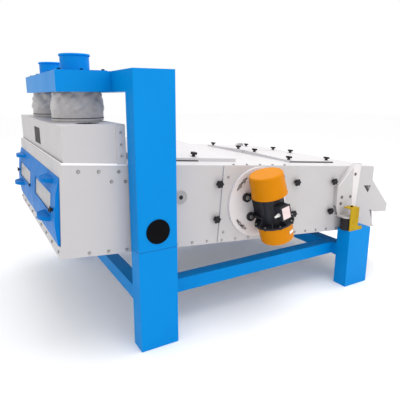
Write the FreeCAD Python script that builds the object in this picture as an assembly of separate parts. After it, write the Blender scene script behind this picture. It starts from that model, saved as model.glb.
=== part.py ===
import FreeCAD, Part
import os
import math

V = FreeCAD.Vector
os.makedirs("parts", exist_ok=True)

# Vibrating seed cleaner. Millimetres. Working axes: X from the tall inlet posts to the
# discharge end, Y across (the motor side seen in the photo is -Y), Z up from the floor.
# Everything is shifted in X at the end so that the box centre stands over the origin.

# Base frame
POST_LX = 260.0
POST_LY = 127.0
POST_WALL = 6.0
POST_GAP = 18.0
LEG_IN_H = 673.0
LEG_OUT_H = 500.0
LEG_OUT_X = 1866.0
PORTAL_TOP = 1750.0
BEAM_H = 125.0
BEAM_LX = 200.0
TUBE = 100.0
TUBE_WALL = 5.0
BEAM_DROP = 224.4
BEAM_IN_X = 50.0
BEAM_OUT_X = 1880.0
RAIL_GAP = 65.0
ANCHOR_R = 11.0
CAP_R = 75.0
CAP_Z = 792.0
# Spout platform and feed line
PLAT_X = 338.0
PLAT_EDGE = 220.0
PLAT_WALL = 8.0
SPOUT_X = -165.0
SPOUT_IN = 450.0
SPOUT_R = 92.0
SPOUT_WALL = 4.0
SPOUT_H = 110.0
FLANGE_X = 155.0
FLANGE_Y = 180.0
DROP_R = 140.0
DROP_L = 150.0
COLLAR_R = 160.0
COLLAR_H = 36.0
SLEEVE_T = 3.0
SUCTION_X = -171.0
SUCTION_IN = 197.0
SUCTION_R = 75.0
# Sieve box
TILT = 5.0
TOP_Z0 = 1196.0
BOX_H = 560.0
BOX_HALF = 837.0
PLATE = 6.0
FRONT_TOP = -388.0
FRONT_BOT = -418.0
FRONT_T = 5.0
BOSS_X = 362.0
BOSS_Z = 948.0
BOSS_R = 50.0
END_X = 2283.0
END_STEP_Z = 876.0
TIP_X = 2526.0
TIP_Z = 621.0
TIP_H = 71.0
HOOD_X0 = -373.0
HOOD_X1 = -5.0
HOOD_TOP = 1438.0
HOOD_WALL = 4.0
LID_EDGE = 187.0
UPPER_W = -110.0
LOWER_W = -360.0
SIEVE_T = 40.0
SIEVE_GAP = 92.0
SIEVE_U0 = -330.0
SIEVE_MID = 950.0
UPPER_END = 2230.0
LOWER_END = 2190.0
MESH_T = 1.5
BALL_R = 15.0
# Inlet doors
DOOR_GAP = 4.0
DOOR_EDGE = 11.0
DOOR_REST = 31.0
DOOR_Z0 = 752.0
DOOR_Z1 = 1150.0
DOOR_T = 4.0
PANE_Y0 = 110.0
PANE_EDGE = 126.0
PANE_Z0 = 925.0
PANE_Z1 = 1040.0
PULL_W = 200.0
PULL_D = 60.0
PULL_H = 26.0
PULL_EDGE = 241.0
PULL_Z0 = 867.0
PULL_Z1 = 1097.0
# Vibration drive
THROW = 15.0
DISC_X = 989.0
DISC_Z = 843.0
DISC_R = 258.0
DISC_T = 18.0
MPLATE_T = 10.0
MPLATE_U0 = 700.0
MPLATE_U1 = 1290.0
SLOT_R = 218.0
SLOT_HALF = 14.0
AXIS_OUT = 150.0
MOTOR_R = 104.0
MOTOR_HALF = 120.0
MFLANGE_R = 130.0
MCAP_R = 125.0
MCAP_L = 132.0
MCAP_T = 4.0
MCAP_LAP = 27.0
TBOX_TURN = 14.0
SHAFT_R = 20.0
# Suspension
SPRING_R = 50.0
SPRING_H = 105.0
SPRING_IN_X = 130.0
SPRING_OUT_X = 1890.0
SEAT_T = 12.0
CLEAR = 0.3

TAN = math.tan(math.radians(TILT))
POST_IN = BOX_HALF + POST_GAP
HALF_WIDTH = POST_IN + POST_LY
RAIL_Y = POST_IN - RAIL_GAP
SPOUT_Y = BOX_HALF - SPOUT_IN
PLAT_HALF = SPOUT_Y + PLAT_EDGE
SUCTION_Y = -BOX_HALF + SUCTION_IN
SIEVE_HALF = BOX_HALF - SIEVE_GAP
DOOR_SIDE = BOX_HALF - DOOR_EDGE
PANE_Y1 = DOOR_SIDE - PANE_EDGE
LID_Y = BOX_HALF - LID_EDGE
POST_MID = HALF_WIDTH - POST_LY / 2.0
SPOUT_TOP = PORTAL_TOP + SPOUT_H
DROP_Z = PORTAL_TOP - DROP_L


def box(x0, x1, y0, y1, z0, z1):
    return Part.makeBox(x1 - x0, y1 - y0, z1 - z0, V(x0, y0, z0))


def cyl(p, d, r, h):
    return Part.makeCylinder(r, h, V(*p), V(*d))


def prism(pts, y0, y1):
    """Closed X-Z outline swept from y0 to y1."""
    ring = [V(x, y0, z) for x, z in pts]
    ring.append(ring[0])
    return Part.Face(Part.makePolygon(ring)).extrude(V(0, y1 - y0, 0))


def spin(pts, x, y):
    """Closed R-Z outline turned about the vertical line through x, y."""
    ring = [V(r, 0, z) for r, z in pts]
    ring.append(ring[0])
    s = Part.Face(Part.makePolygon(ring)).revolve(V(0, 0, 0), V(0, 0, 1), 360)
    s.translate(V(x, y, 0))
    return s


def deck(s):
    """From the deck's own axes (u along, y across, w up from the top edge) to the machine."""
    s = s.copy()
    s.rotate(V(0, 0, 0), V(0, 1, 0), TILT)
    s.translate(V(0, 0, TOP_Z0))
    return s


def dbox(u0, u1, y0, y1, w0, w1):
    return deck(box(u0, u1, y0, y1, w0, w1))


def far(s):
    return s.mirror(V(0, 0, 0), V(0, 1, 0))


def fuse(items):
    s = items[0]
    if len(items) > 1:
        s = s.multiFuse(items[1:])
    return s.removeSplitter()


def top_z(x):
    return TOP_Z0 - TAN * x


def bot_z(x):
    return TOP_Z0 - BOX_H / math.cos(math.radians(TILT)) - TAN * x


TUBE_Z = bot_z(BEAM_OUT_X) - BEAM_DROP


def front_x(z):
    f = (top_z(FRONT_TOP) - z) / (top_z(FRONT_TOP) - bot_z(FRONT_BOT))
    return FRONT_TOP + (FRONT_BOT - FRONT_TOP) * f


def hexhead(p, d, af, h):
    """Hexagon bolt head standing on the point p along d."""
    r = af / math.sqrt(3.0)
    ring = [V(r * math.cos(math.radians(60 * k)), r * math.sin(math.radians(60 * k)), 0)
            for k in range(6)]
    ring.append(ring[0])
    s = Part.Face(Part.makePolygon(ring)).extrude(V(0, 0, h))
    s.Placement = FreeCAD.Placement(V(*p), FreeCAD.Rotation(V(0, 0, 1), V(*d)))
    return s


def star(p, d, stem, r=29.0, h=17.0):
    """Hand star knob: six lobes on a hub, standing on the point p along d."""
    ring = []
    for k in range(12):
        a = math.radians(30 * k)
        rr = r if k % 2 == 0 else 0.74 * r
        ring.append(V(rr * math.cos(a), rr * math.sin(a), stem))
    ring.append(ring[0])
    head = Part.Face(Part.makePolygon(ring)).extrude(V(0, 0, h))
    hub = hexhead((0, 0, 0), (0, 0, 1), 0.85 * r, stem)
    s = fuse([head, hub])
    s.Placement = FreeCAD.Placement(V(*p), FreeCAD.Rotation(V(0, 0, 1), V(*d)))
    return s


def octagon(r, z0, h):
    ring = [V(r * math.cos(math.radians(22.5 + 45 * k)), r * math.sin(math.radians(22.5 + 45 * k)), z0)
            for k in range(8)]
    ring.append(ring[0])
    return Part.Face(Part.makePolygon(ring)).extrude(V(0, 0, h))


def ribbed_spring(x, y, z0):
    """Barrel-ribbed rubber compression spring with a centre hole."""
    pts = [(12.0, z0), (SPRING_R - 5.0, z0)]
    n = 3
    for k in range(n):
        a = z0 + SPRING_H * k / n
        b = z0 + SPRING_H * (k + 1) / n
        pts.append((SPRING_R, (a + b) / 2.0))
        pts.append((SPRING_R - 5.0, b))
    pts.append((12.0, z0 + SPRING_H))
    return spin(pts, x, y)


nodes = {}


def save(name, *solids):
    nodes[name] = list(solids)


# Legs

def leg(x0, h):
    a = box(x0, x0 + POST_LX, -HALF_WIDTH, -POST_IN, 0, h)
    b = box(x0 + POST_WALL, x0 + POST_LX - POST_WALL, -HALF_WIDTH + POST_WALL,
            -POST_IN - POST_WALL, 10.0, h - 12.0)
    hole = cyl((x0 + POST_LX / 2, -POST_MID, -1), (0, 0, 1), ANCHOR_R, 20.0)
    return a.cut(b).cut(hole)


leg_in = leg(0.0, LEG_IN_H)
leg_out = leg(LEG_OUT_X, LEG_OUT_H)
save("inlet_leg_near", leg_in)
save("inlet_leg_far", far(leg_in))
save("discharge_leg_near", leg_out)
save("discharge_leg_far", far(leg_out))


def tube_y(x0):
    a = box(x0, x0 + TUBE, -POST_IN, POST_IN, TUBE_Z, TUBE_Z + TUBE)
    t = TUBE_WALL
    return a.cut(box(x0 + t, x0 + TUBE - t, -POST_IN - 1, POST_IN + 1,
                     TUBE_Z + t, TUBE_Z + TUBE - t))


save("cross_beams", tube_y(BEAM_IN_X), tube_y(BEAM_OUT_X))
r0 = BEAM_IN_X + TUBE
rail = box(r0, BEAM_OUT_X, -RAIL_Y, -RAIL_Y + TUBE, TUBE_Z, TUBE_Z + TUBE)
rail = rail.cut(box(r0 - 1, BEAM_OUT_X + 1, -RAIL_Y + TUBE_WALL, -RAIL_Y + TUBE - TUBE_WALL,
                    TUBE_Z + TUBE_WALL, TUBE_Z + TUBE - TUBE_WALL))
save("side_rails", rail, far(rail))

# Portal: hollow posts that house the inlet springs, top beam and spout platform
post = box(0, POST_LX, -HALF_WIDTH, -POST_IN, LEG_IN_H, PORTAL_TOP)
post = post.cut(box(POST_WALL, POST_LX - POST_WALL, -HALF_WIDTH + POST_WALL,
                    -POST_IN - POST_WALL, LEG_IN_H - 1, PORTAL_TOP - POST_WALL))
post = post.cut(cyl((POST_LX / 2, -HALF_WIDTH - 1, CAP_Z), (0, 1, 0), CAP_R, POST_WALL + 2))
post = post.cut(box(POST_LX / 2 - 95, POST_LX / 2 + 95, -POST_IN - POST_WALL - 1,
                    -POST_IN + 1, LEG_IN_H - 1, LEG_IN_H + 210))
save("portal_post_near", post)
save("portal_post_far", far(post))
cap = fuse([cyl((POST_LX / 2, -HALF_WIDTH, CAP_Z), (0, -1, 0), CAP_R + 3.0, 5.0),
            cyl((POST_LX / 2, -HALF_WIDTH + POST_WALL, CAP_Z), (0, -1, 0), CAP_R - 0.06,
                POST_WALL + 1.0)])
save("port_caps", cap, far(cap))
beam = box(0, BEAM_LX, -POST_IN, POST_IN, PORTAL_TOP - BEAM_H, PORTAL_TOP)
beam = beam.cut(box(TUBE_WALL, BEAM_LX - TUBE_WALL, -POST_IN - 1, POST_IN + 1,
                    PORTAL_TOP - BEAM_H + TUBE_WALL, PORTAL_TOP - TUBE_WALL))
save("portal_beam", beam)
plat = box(-PLAT_X, 0, -PLAT_HALF, PLAT_HALF, PORTAL_TOP - BEAM_H, PORTAL_TOP)
plat = plat.cut(box(-PLAT_X + PLAT_WALL, -PLAT_WALL, -PLAT_HALF + PLAT_WALL,
                    PLAT_HALF - PLAT_WALL, PORTAL_TOP - BEAM_H - 1, PORTAL_TOP - PLAT_WALL))
for s in (-1, 1):
    plat = plat.cut(cyl((SPOUT_X, s * SPOUT_Y, PORTAL_TOP - 20), (0, 0, 1), SPOUT_R + 0.5, 40))
save("spout_platform", plat)


def spout(s):
    t = SPOUT_WALL
    ri = SPOUT_R - t
    under = PORTAL_TOP - PLAT_WALL
    pts = [(ri, under - 6), (ri, SPOUT_TOP), (SPOUT_R + 4, SPOUT_TOP), (SPOUT_R + 7, SPOUT_TOP - 4),
           (SPOUT_R + 7, SPOUT_TOP - 10), (SPOUT_R, SPOUT_TOP - 16), (SPOUT_R, under),
           (DROP_R, under), (DROP_R, DROP_Z), (DROP_R - t, DROP_Z), (DROP_R - t, under - 6)]
    body = spin(pts, SPOUT_X, s * SPOUT_Y)
    y = s * SPOUT_Y
    flange = box(SPOUT_X - FLANGE_X, SPOUT_X + FLANGE_X, y - FLANGE_Y, y + FLANGE_Y, PORTAL_TOP,
                 PORTAL_TOP + 6)
    flange = flange.cut(cyl((SPOUT_X, y, PORTAL_TOP - 5), (0, 0, 1), SPOUT_R - 1, 20))
    return fuse([body, flange])


save("inlet_spout_near", spout(-1))
save("inlet_spout_far", spout(1))

# Cloth feed sleeves, clamped at the platform and on the hood collars
sl_bot = HOOD_TOP + 8.0


def sleeve(s):
    r_in = [(DROP_R + CLEAR, DROP_Z + 35), (DROP_R + CLEAR, DROP_Z - 2), (DROP_R + 9, DROP_Z - 50),
            (DROP_R + 9, HOOD_TOP + 62), (COLLAR_R + CLEAR, HOOD_TOP + COLLAR_H + 2),
            (COLLAR_R + CLEAR, sl_bot)]
    outer = [(r + SLEEVE_T, z) for r, z in reversed(r_in)]
    return spin(r_in + outer, SPOUT_X, s * SPOUT_Y)


save("feed_sleeve_near", sleeve(-1))
save("feed_sleeve_far", sleeve(1))
clamps = []
for s in (-1, 1):
    r = COLLAR_R + CLEAR + SLEEVE_T + CLEAR
    clamps.append(spin([(r, sl_bot + 3), (r + 3, sl_bot + 3), (r + 3, sl_bot + 17), (r, sl_bot + 17)],
                       SPOUT_X, s * SPOUT_Y))
save("sleeve_clamps", *clamps)

# Rubber springs
seat_in = LEG_IN_H + SPRING_H
seat_out = LEG_OUT_H + SPRING_H
spr_in = ribbed_spring(SPRING_IN_X, -POST_MID, LEG_IN_H)
spr_out = ribbed_spring(SPRING_OUT_X, -POST_MID, LEG_OUT_H)
save("inlet_rubber_springs", spr_in, far(spr_in))
save("discharge_rubber_springs", spr_out, far(spr_out))

# Transport brackets that hold the box down on the road
TB_X0 = SPRING_OUT_X - 28.0
TB_X1 = TB_X0 + 100.0
TB_TOP = LEG_OUT_H + 197.0
tb = fuse([box(TB_X0, TB_X1, -HALF_WIDTH + 1, -HALF_WIDTH + 8, LEG_OUT_H, TB_TOP),
           box(TB_X0, TB_X1, -HALF_WIDTH + 1, -HALF_WIDTH + 78, TB_TOP - 8, TB_TOP),
           box(TB_X0, TB_X1 + 50, -HALF_WIDTH + 1, -HALF_WIDTH + 8, LEG_OUT_H, LEG_OUT_H + 30),
           box(TB_X1, TB_X1 + 50, -HALF_WIDTH + 1, -HALF_WIDTH + 50, LEG_OUT_H, LEG_OUT_H + 8)])
save("transport_brackets", tb, far(tb))

# Frame bolts: spout flanges and transport brackets
fb = []
for s in (-1, 1):
    for dx in (20 - FLANGE_X, 0, FLANGE_X - 20):
        for dy in (20 - FLANGE_Y, FLANGE_Y - 20):
            fb.append(hexhead((SPOUT_X + dx, s * SPOUT_Y + dy, PORTAL_TOP + 6), (0, 0, 1), 18, 8))
    fb.append(hexhead((TB_X1 + 25, s * (HALF_WIDTH - 28), LEG_OUT_H + 8), (0, 0, 1), 18, 9))
    fb.append(hexhead(((TB_X0 + TB_X1) / 2, s * (HALF_WIDTH - 40), TB_TOP), (0, 0, 1), 18, 9))
save("frame_bolts", *fb)

# Sieve box side plates with the two deck ledges
tri = [(END_X - 108, top_z(END_X) - 164), (END_X - 13, top_z(END_X) - 172),
       (END_X - 43, top_z(END_X) - 238)]
TOPP = 5.0
side_pts = [(FRONT_TOP, top_z(FRONT_TOP) - TOPP - 0.1), (END_X, top_z(END_X) - TOPP - 0.1),
            (END_X, 600.0), (END_X + 72, bot_z(END_X + 72)), (FRONT_BOT, bot_z(FRONT_BOT))]
side = prism(side_pts, -BOX_HALF, -BOX_HALF + PLATE)
side = side.cut(prism(tri, -BOX_HALF - 1, -BOX_HALF + PLATE + 1))
ledges = []
for w, u1 in ((UPPER_W, UPPER_END), (LOWER_W, LOWER_END)):
    ledges.append(dbox(SIEVE_U0, u1, -BOX_HALF + PLATE, -SIEVE_HALF - CLEAR, w - SIEVE_T + 8, w))
foot = dbox(SIEVE_U0, LOWER_END - 120, -BOX_HALF + PLATE, -BOX_HALF + PLATE + 40, -BOX_H + 8,
            -BOX_H + 16)
boss = cyl((BOSS_X, -BOX_HALF, BOSS_Z), (0, -1, 0), BOSS_R, 4.0)
side = fuse([side] + ledges + [foot, boss])
side = side.cut(cyl((BOSS_X, -BOX_HALF - 4.0, BOSS_Z), (0, 1, 0), 15.0, 3.0))
save("side_plate_near", side)
save("side_plate_far", far(side))

# Bottom pan with the fines opening
PAN_U1 = 2085.0
FIN_U0 = 1950.0
FIN_U1 = 2060.0
FIN_Y = 130.0
pan = dbox(-342.0, PAN_U1, -BOX_HALF + PLATE + CLEAR, BOX_HALF - PLATE - CLEAR, -BOX_H + 3.7,
           -BOX_H + 7.7)
pan = pan.cut(dbox(FIN_U0, FIN_U1, -FIN_Y, FIN_Y, -BOX_H - 10, -BOX_H + 30))
save("bottom_pan", pan)
fx0 = FIN_U0 * math.cos(math.radians(TILT)) - 50
fx1 = fx0 + (FIN_U1 - FIN_U0)
fz1 = bot_z(fx1) - 4.0
fines = box(fx0 - 6, fx1 + 6, -FIN_Y - 6, FIN_Y + 6, fz1 - 70, fz1 + 20)
fines = fines.cut(box(fx0, fx1, -FIN_Y, FIN_Y, fz1 - 80, fz1 + 60))
fl = box(fx0 - 30, fx1 + 30, -FIN_Y - 30, FIN_Y + 30, fz1 - 70, fz1 - 64)
fl = fl.cut(box(fx0, fx1, -FIN_Y, FIN_Y, fz1 - 80, fz1 + 60))
fines = fuse([fines, fl])
under = deck(box(1500, 2600, -400, 400, -BOX_H + 3.6, -BOX_H + 400))
save("fines_outlet", fines.cut(under))

# Feed hood on the inlet end
hood = prism([(HOOD_X0, top_z(HOOD_X0)), (HOOD_X1, top_z(HOOD_X1)), (HOOD_X1, HOOD_TOP),
              (HOOD_X0, HOOD_TOP)], -BOX_HALF, BOX_HALF)
inner = box(HOOD_X0 + HOOD_WALL, HOOD_X1 - HOOD_WALL, -BOX_HALF + HOOD_WALL,
            BOX_HALF - HOOD_WALL, 1000, HOOD_TOP - HOOD_WALL)
hood = hood.cut(inner)
for s in (-1, 1):
    hood = fuse([hood, cyl((SPOUT_X, s * SPOUT_Y, HOOD_TOP - 1), (0, 0, 1), COLLAR_R,
                           COLLAR_H + 1)])
    hood = hood.cut(cyl((SPOUT_X, s * SPOUT_Y, HOOD_TOP - 20), (0, 0, 1), COLLAR_R - 4,
                        COLLAR_H + 40))
hood = hood.cut(cyl((SUCTION_X, SUCTION_Y, HOOD_TOP - 20), (0, 0, 1), SUCTION_R, 60))
strips = []
for s in (-1, 1):
    y0 = BOX_HALF if s > 0 else -BOX_HALF - 5
    strips.append(prism([(-62, top_z(-62) + 2), (HOOD_X1, top_z(HOOD_X1) + 2),
                         (HOOD_X1, HOOD_TOP - 6), (-62, HOOD_TOP - 6)], y0, y0 + 5))
save("feed_hood", fuse([hood] + strips))

# Feed tray under the hood
save("feed_tray", dbox(-378.0, -120.0, -BOX_HALF + PLATE + CLEAR, BOX_HALF - PLATE - CLEAR,
                       -62.0, -58.0))

# Front panel with the two door openings, and its bottom flange strip
zt = top_z(FRONT_TOP)
zb = bot_z(FRONT_BOT)
fp = prism([(FRONT_TOP, zt), (FRONT_BOT, zb), (FRONT_BOT - FRONT_T, zb),
            (FRONT_TOP - FRONT_T, zt)], -BOX_HALF, BOX_HALF)
zs = zb + 76.0
strip = prism([(front_x(zb) - FRONT_T, zb), (front_x(zs) - FRONT_T, zs),
               (front_x(zs) - FRONT_T - 6, zs), (front_x(zb) - FRONT_T - 6, zb)],
              -BOX_HALF, BOX_HALF)
for s in (-1, 1):
    a, b = sorted((s * (DOOR_GAP + DOOR_REST + 10), s * (DOOR_SIDE - DOOR_REST)))
    fp = fp.cut(box(-500, -300, a, b, DOOR_Z0 + 38, DOOR_Z1 - 32))
save("front_panel", fuse([fp, strip]))

# Top frame: one folded sheet with the hood, inlet and discharge openings
LID_IN = (110.0, 770.0)
LID_OUT = (1470.0, 1985.0)
LID_GAP = 8.0
tf = dbox(-386.0, 2290.0, -BOX_HALF, BOX_HALF, -TOPP, 0.0)
tf = tf.cut(dbox(-366.0, -12.0, -BOX_HALF + 12, BOX_HALF - 12, -50, 50))
for u0, u1 in (LID_IN, LID_OUT):
    for s in (-1, 1):
        a, b = sorted((s * 40.0, s * (LID_Y - 40.0)))
        tf = tf.cut(dbox(u0 + 40, u1 - 40, a, b, -50, 50))
save("top_frame", tf)


def lid(u0, u1, hip, h0, h1, s):
    """Pitched sheet lid: h0 high at the outer edge, h1 at the middle, its end sloped by hip."""
    a = LID_GAP
    b = LID_Y

    def body(t):
        # outline in y-w, swept along u
        ring = [V(u0 + t, -b + t, 0.2 - t), V(u0 + t, -b + t, h0 - t), V(u0 + t, -a - t, h1 - t),
                V(u0 + t, -a - t, 0.2 - t)]
        ring.append(ring[0])
        s1 = Part.Face(Part.makePolygon(ring)).extrude(V(u1 - u0 - 2 * t, 0, 0))
        if hip > 0:
            cutter = [V(u1 - hip - t, -b - 5, h1 + 1 - t), V(u1 + 40, -b - 5, h1 + 1 - t),
                      V(u1 + 40, -b - 5, h0 - t - 40 * (h1 - h0) / hip),
                      V(u1 - t, -b - 5, h0 - t)]
            cutter.append(cutter[0])
            s1 = s1.cut(Part.Face(Part.makePolygon(cutter)).extrude(V(0, b + 20, 0)))
        return s1

    outer = body(0.0).cut(body(3.0))
    outer = deck(outer)
    return outer if s < 0 else far(outer)


IN_H0 = 24.0
IN_H1 = 104.0
OUT_H0 = 14.0
OUT_H1 = 30.0
save("inlet_lids", lid(LID_IN[0], LID_IN[1] + 160, 200, IN_H0, IN_H1, -1),
     lid(LID_IN[0], LID_IN[1] + 160, 200, IN_H0, IN_H1, 1))
save("discharge_lids", lid(LID_OUT[0], LID_OUT[1], 0, OUT_H0, OUT_H1, -1),
     lid(LID_OUT[0], LID_OUT[1], 0, OUT_H0, OUT_H1, 1))


# Sieve frames, each with a ball tray below and a mesh on top

def sieve_frame(u0, u1, w):
    f = box(u0, u1, -SIEVE_HALF, SIEVE_HALF, w - SIEVE_T, w)
    n = 3
    du = (u1 - u0 - 40.0) / n
    for k in range(n):
        for s in (-1, 1):
            a, b = sorted((s * 12.0, s * (SIEVE_HALF - 35.0)))
            f = f.cut(box(u0 + 35 + du * k, u0 + 35 + du * (k + 1) - 25, a, b,
                          w - SIEVE_T + 2, w + 1))
    return deck(f)


def mesh(u0, u1, w):
    return dbox(u0 + 6, u1 - 6, -SIEVE_HALF + 6, SIEVE_HALF - 6, w + 0.1, w + 0.1 + MESH_T)


def ball(p):
    """Faceted rubber ball: what three crossed octagonal bars have in common."""
    bar = octagon(BALL_R / math.cos(math.radians(22.5)), -BALL_R, 2 * BALL_R)
    s = bar
    for axis in (V(1, 0, 0), V(0, 1, 0)):
        cross = bar.copy()
        cross.rotate(V(0, 0, 0), axis, 90)
        s = s.common(cross)
    s.translate(p)
    return s


balls = []
for name, w, u_end in (("upper", UPPER_W, UPPER_END), ("lower", LOWER_W, LOWER_END)):
    spans = ((SIEVE_U0, SIEVE_MID), (SIEVE_MID + 10, u_end))
    save(name + "_sieve_frames", *[sieve_frame(a, b, w) for a, b in spans])
    save(name + "_sieve_meshes", *[mesh(a, b, w) for a, b in spans])
    for k, (a, b) in enumerate(spans):
        du = (b - a - 40.0) / 3
        for c in range(3):
            for s in (-1, 1):
                p = V(a + 35 + du * (c + 0.42), s * (230 + 170 * ((c + k) % 2)),
                      w - SIEVE_T + 2.2 + BALL_R)
                balls.append(deck(ball(p)))
save("rubber_balls", *balls)

# Discharge end: overs chute and the lower end wall
cheek = prism([(END_X + CLEAR, END_STEP_Z), (TIP_X, TIP_Z), (TIP_X - 8, TIP_Z - TIP_H),
               (END_X + 69, 566.0), (END_X + CLEAR, 601.0)], -BOX_HALF, -BOX_HALF + PLATE)
fall = (END_STEP_Z - TIP_Z) / (TIP_X - END_X - CLEAR)
ct = 5.0
drop = ct * math.sqrt(1.0 + fall * fall)
x0 = END_X + CLEAR
zc = top_z(END_X) - TOPP - 2
hood_pts = [(x0, zc), (x0 + ct, zc), (x0 + ct, END_STEP_Z - ct * fall), (TIP_X, TIP_Z),
            (TIP_X - 8, TIP_Z - TIP_H), (TIP_X - 8 - ct, TIP_Z - TIP_H),
            (TIP_X - ct, TIP_Z + ct * fall - drop), (x0, END_STEP_Z - drop)]
chute = prism(hood_pts, -BOX_HALF, BOX_HALF)
save("overs_chute", fuse([chute, cheek, far(cheek)]))
wz = 5.0
ew = [(END_X - 33, 830.0), (END_X + 46, 566.0), (END_X + 68, bot_z(END_X + 68) + 1.0)]
wall = prism(ew + [(x - wz, z) for x, z in reversed(ew)], -BOX_HALF + PLATE + CLEAR,
             BOX_HALF - PLATE - CLEAR)
lip = box(END_X + 65, END_X + 92, -BOX_HALF + PLATE + CLEAR, BOX_HALF - PLATE - CLEAR,
          bot_z(END_X + 68) + 1.0, bot_z(END_X + 68) + 6.0)
save("discharge_end_wall", fuse([wall, lip]))

# Motor plates on both sides, with the spigot the disc turns on
mp = dbox(MPLATE_U0, MPLATE_U1, -BOX_HALF - MPLATE_T, -BOX_HALF, -BOX_H + 4, -4.0)
spig = cyl((DISC_X, -BOX_HALF - MPLATE_T + 1, DISC_Z), (0, -1, 0), 40.0, 13.0)
mp = fuse([mp, spig])
save("motor_plates", mp, far(mp))

# Inlet spring brackets: through the post wall onto the springs inside the posts
bx0 = SPRING_IN_X - 70.0
bx1 = SPRING_IN_X + 70.0
brk = [box(bx0 - 10, bx1 + 10, -BOX_HALF - 8, -BOX_HALF, seat_in - 40, seat_in + 84),
       box(bx0, bx1, -POST_MID, -BOX_HALF, seat_in, seat_in + SEAT_T),
       cyl((SPRING_IN_X, -POST_MID, seat_in), (0, 0, 1), 52.0, SEAT_T)]
for x in (bx0 + 12, bx1 - 20):
    g = Part.Face(Part.makePolygon([V(x, -BOX_HALF, seat_in + SEAT_T), V(x, -BOX_HALF, seat_in + 80),
                                    V(x, -POST_MID + 10, seat_in + SEAT_T),
                                    V(x, -BOX_HALF, seat_in + SEAT_T)])).extrude(V(8, 0, 0))
    brk.append(g)
brk_in = fuse(brk)
save("inlet_spring_brackets", brk_in, far(brk_in))

# Discharge spring brackets: boxed gusset with a round-nosed spring seat
yo = -BOX_HALF - 27.0
so = seat_out
gx = SPRING_OUT_X
face = prism([(gx - 82, so + 263), (gx + 85, so + 425), (gx + 122, so + 445), (gx + 188, so + 437),
              (gx + 160, so + 145), (gx + 150, so), (gx - 48, so), (gx - 82, so + 85)], yo - 8, yo)
s_fl = prism([(gx - 82, so + 263), (gx + 85, so + 425), (gx + 122, so + 445), (gx + 128, so + 437),
              (gx + 91, so + 419), (gx - 76, so + 257)], yo - 1, -BOX_HALF)
l_fl = box(gx - 82, gx - 74, yo - 1, -BOX_HALF, so + 95, so + 261)
r_fl = prism([(gx + 188, so + 437), (gx + 160, so + 145), (gx + 150, so), (gx + 142, so),
              (gx + 152, so + 145), (gx + 180, so + 437)], yo - 1, -BOX_HALF)
seat = box(gx - 48, gx + 150, -POST_MID, -BOX_HALF, so, so + SEAT_T)
nose = cyl((SPRING_OUT_X, -POST_MID, so), (0, 0, 1), 51.0, SEAT_T)
tail = prism([(gx, so), (gx + 150, so), (gx + 150, so + SEAT_T), (gx, so + SEAT_T)],
             -POST_MID - 30, -POST_MID + 1)
brk_out = fuse([face, s_fl, l_fl, r_fl, seat, nose, tail])
save("discharge_spring_brackets", brk_out, far(brk_out))

# Star knobs: deck clamps on the sides and lid knobs on top
kn = []
for u in (668.0, 1384.0, 1797.0):
    for w in (UPPER_W - 19, LOWER_W - 19):
        p = deck(Part.Vertex(u, -BOX_HALF, w)).Point
        k = star((p.x, p.y, p.z), (0, -1, 0), 18.0)
        kn += [k, far(k)]
up = (math.sin(math.radians(TILT)), 0, math.cos(math.radians(TILT)))


def lid_knob(u, y, h0, h1):
    """Knob square to the pitched lid, a clearance off its sheet."""
    pitch = (h1 - h0) / (LID_Y - LID_GAP)
    h = h0 + pitch * (LID_Y - abs(y))
    p = deck(Part.Vertex(u, y, h + CLEAR)).Point
    d = (up[0], math.copysign(pitch, y), up[2])
    return star((p.x, p.y, p.z), d, 16.0, 27.0, 14.0)


for y in (-600.0, -130.0, 130.0, 600.0):
    for u in (LID_OUT[0] + 36, LID_OUT[1] - 36):
        kn.append(lid_knob(u, y, OUT_H0, OUT_H1))
    for u in (LID_IN[0] + 40, LID_IN[1] - 180):
        kn.append(lid_knob(u, y, IN_H0, IN_H1))
save("star_knobs", *kn)

# Body bolts
bb = []


def side_bolt(u, w, y=BOX_HALF, af=13.0):
    p = deck(Part.Vertex(u, -y, w)).Point
    h = hexhead((p.x, p.y, p.z), (0, -1, 0), af, 6.0)
    bb.append(h)
    bb.append(far(h))


for k in range(-2, 19):
    u = 24.0 + 118.0 * k
    if not MPLATE_U0 - 12 < u < MPLATE_U1 + 12:
        side_bolt(u, -BOX_H + 22)
    else:
        side_bolt(u, -BOX_H + 22, BOX_HALF + MPLATE_T)
for u, w in ((-290, -43), (-172, -43), (-50, -43), (-92, -103), (-6, -103)):
    side_bolt(u, w)
for u in (740, 1250):
    for w in (-82, -480):
        side_bolt(u, w, BOX_HALF + MPLATE_T, 16.0)
for k in range(5):
    u = 792.0 + 118.0 * k
    p = deck(Part.Vertex(u, -BOX_HALF + 14, 0)).Point
    h = hexhead((p.x, p.y, p.z), up, 16.0, 8.0)
    bb += [h, far(h)]
for z in (1391, 1320, 1251):
    h = hexhead((-34, -BOX_HALF - 5, z), (0, -1, 0), 13, 6)
    bb += [h, far(h)]
for k in range(9):
    z = zb + 38
    y = (k - 4) * (BOX_HALF - 37) / 4
    lean = (FRONT_TOP - FRONT_BOT) / (zt - zb)
    bb.append(hexhead((front_x(z) - FRONT_T - 6, y, z), (-1, 0, lean), 16, 7))
BOLT_ANG = (45, 135, 225, 315)
for a in BOLT_ANG:
    for da in (-6, 6):
        t = math.radians(a + da)
        x = DISC_X + SLOT_R * math.cos(t)
        z = DISC_Z + SLOT_R * math.sin(t)
        y = -BOX_HALF - MPLATE_T
        h = fuse([hexhead((x, y, z), (0, -1, 0), 13.0, DISC_T + 4),
                  hexhead((x, y - DISC_T - 0.6, z), (0, -1, 0), 26.0, 3.0),
                  hexhead((x, y - DISC_T - 3.6, z), (0, -1, 0), 19.0, 9.0)])
        bb += [h, far(h)]
save("body_bolts", *bb)

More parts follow.
